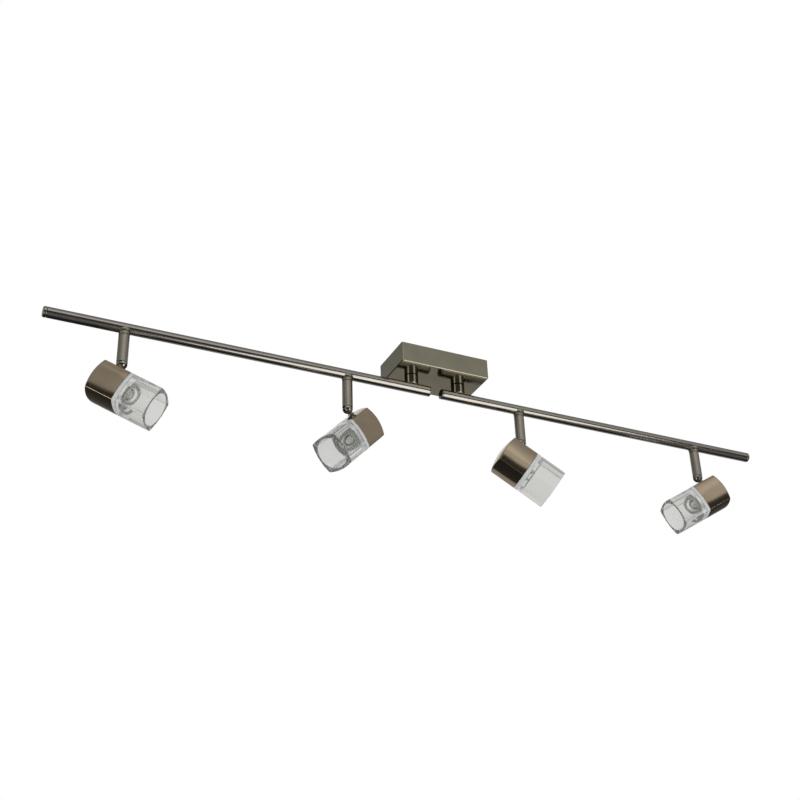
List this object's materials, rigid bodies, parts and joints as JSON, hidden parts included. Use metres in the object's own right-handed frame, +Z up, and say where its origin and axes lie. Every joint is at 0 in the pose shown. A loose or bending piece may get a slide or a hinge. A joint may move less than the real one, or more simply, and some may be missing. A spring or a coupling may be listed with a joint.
{
  "type": "track lighting fixture",
  "caption": "Ceiling spot bar: box canopy, two swinging tube arms, and aimed heads with a metal cap and a thick clear glass shade on round-ended knuckles.",
  "frame": {"origin": "centre of the ceiling mounting face, where the strap and the canopy rim meet the ceiling", "axes": "+X along the two arms at rest, +Z up into the ceiling, -Y towards the side that faces the viewer"},
  "size_m": [0.91, 0.0706, 0.1629],
  "materials": {
    "canopy_bronze": "polished, slightly blurred warm grey-brown plate",
    "arm_pewter": "polished dark pewter plate",
    "stem_satin": "satin grey-brown plate",
    "knuckle_chrome": "bright polished",
    "housing_bronze": "polished warm bronze-tan plate",
    "zinc_steel": "zinc plated",
    "ground_green": "green passivated screw",
    "ceramic_white": "matt glazed ceramic",
    "terminal_white": "moulded white terminal body",
    "lead_black": "black insulation",
    "gasket_white": "frosted pale ring",
    "clear_glass": "clear thick pressed glass",
    "bulb_glass": "clear capsule lamp"
  },
  "bodies": {
    "canopy": {"canopy_cover": "canopy_bronze", "mounting_strap": "zinc_steel", "terminal_block": "terminal_white", "ground_screw": "ground_green", "cover_screw_left": "zinc_steel", "swivel_bushing_left": "zinc_steel", "bushing_nut_left": "zinc_steel", "supply_lead_left": "lead_black", "cover_screw_right": "zinc_steel", "swivel_bushing_right": "zinc_steel", "bushing_nut_right": "zinc_steel", "supply_lead_right": "lead_black"},
    "arm_left": {"arm_left_tube": "arm_pewter", "arm_left_outer_cap": "arm_pewter", "arm_left_inner_cap": "arm_pewter", "arm_left_post": "arm_pewter", "arm_left_collar_outer": "stem_satin", "arm_left_collar_inner": "stem_satin"},
    "arm_right": {"arm_right_tube": "arm_pewter", "arm_right_outer_cap": "arm_pewter", "arm_right_inner_cap": "arm_pewter", "arm_right_post": "arm_pewter", "arm_right_collar_outer": "stem_satin", "arm_right_collar_inner": "stem_satin"},
    "head_1_swivel": {"head_1_stem": "stem_satin", "head_1_knuckle": "knuckle_chrome", "head_1_pin": "knuckle_chrome"},
    "head_1_lamp": {"head_1_tongue": "knuckle_chrome", "head_1_housing": "housing_bronze", "head_1_gasket": "gasket_white", "head_1_shade": "clear_glass", "head_1_lampholder": "ceramic_white", "head_1_bulb": "bulb_glass"},
    "head_2_swivel": {"head_2_stem": "stem_satin", "head_2_knuckle": "knuckle_chrome", "head_2_pin": "knuckle_chrome"},
    "head_2_lamp": {"head_2_tongue": "knuckle_chrome", "head_2_housing": "housing_bronze", "head_2_gasket": "gasket_white", "head_2_shade": "clear_glass", "head_2_lampholder": "ceramic_white", "head_2_bulb": "bulb_glass"},
    "head_3_swivel": {"head_3_stem": "stem_satin", "head_3_knuckle": "knuckle_chrome", "head_3_pin": "knuckle_chrome"},
    "head_3_lamp": {"head_3_tongue": "knuckle_chrome", "head_3_housing": "housing_bronze", "head_3_gasket": "gasket_white", "head_3_shade": "clear_glass", "head_3_lampholder": "ceramic_white", "head_3_bulb": "bulb_glass"},
    "head_4_swivel": {"head_4_stem": "stem_satin", "head_4_knuckle": "knuckle_chrome", "head_4_pin": "knuckle_chrome"},
    "head_4_lamp": {"head_4_tongue": "knuckle_chrome", "head_4_housing": "housing_bronze", "head_4_gasket": "gasket_white", "head_4_shade": "clear_glass", "head_4_lampholder": "ceramic_white", "head_4_bulb": "bulb_glass"}
  },
  "joints": [
    {"name": "arm_left_swing", "type": "hinge", "parent": "canopy", "child": "arm_left", "pos_m": [-0.0304, 0, -0.0333], "axis": [0, 0, 1], "range_deg": [-90, 90]},
    {"name": "arm_right_swing", "type": "hinge", "parent": "canopy", "child": "arm_right", "pos_m": [0.0304, 0, -0.0333], "axis": [0, 0, 1], "range_deg": [-90, 90]},
    {"name": "head_1_swivel", "type": "hinge", "parent": "arm_left", "child": "head_1_swivel", "pos_m": [-0.3686, 0, -0.0498], "axis": [0, 0, 1], "range_deg": [-170, 170]},
    {"name": "head_1_tilt", "type": "hinge", "parent": "head_1_swivel", "child": "head_1_lamp", "pos_m": [-0.3686, 0, -0.0848], "axis": [0.4571, 0.8894, 0], "range_deg": [-40.9, 44.1]},
    {"name": "head_2_swivel", "type": "hinge", "parent": "arm_left", "child": "head_2_swivel", "pos_m": [-0.1119, 0, -0.0498], "axis": [0, 0, 1], "range_deg": [-170, 170]},
    {"name": "head_2_tilt", "type": "hinge", "parent": "head_2_swivel", "child": "head_2_lamp", "pos_m": [-0.1119, 0, -0.0848], "axis": [0.3239, -0.9461, 0], "range_deg": [-55, 30]},
    {"name": "head_3_swivel", "type": "hinge", "parent": "arm_right", "child": "head_3_swivel", "pos_m": [0.1119, 0, -0.0498], "axis": [0, 0, 1], "range_deg": [-170, 170]},
    {"name": "head_3_tilt", "type": "hinge", "parent": "head_3_swivel", "child": "head_3_lamp", "pos_m": [0.1119, 0, -0.0848], "axis": [0.1959, 0.9806, 0], "range_deg": [-45.1, 39.9]},
    {"name": "head_4_swivel", "type": "hinge", "parent": "arm_right", "child": "head_4_swivel", "pos_m": [0.3686, 0, -0.0498], "axis": [0, 0, 1], "range_deg": [-170, 170]},
    {"name": "head_4_tilt", "type": "hinge", "parent": "head_4_swivel", "child": "head_4_lamp", "pos_m": [0.3686, 0, -0.0848], "axis": [-0.2756, -0.9613, 0], "range_deg": [-40, 45]}
  ]
}
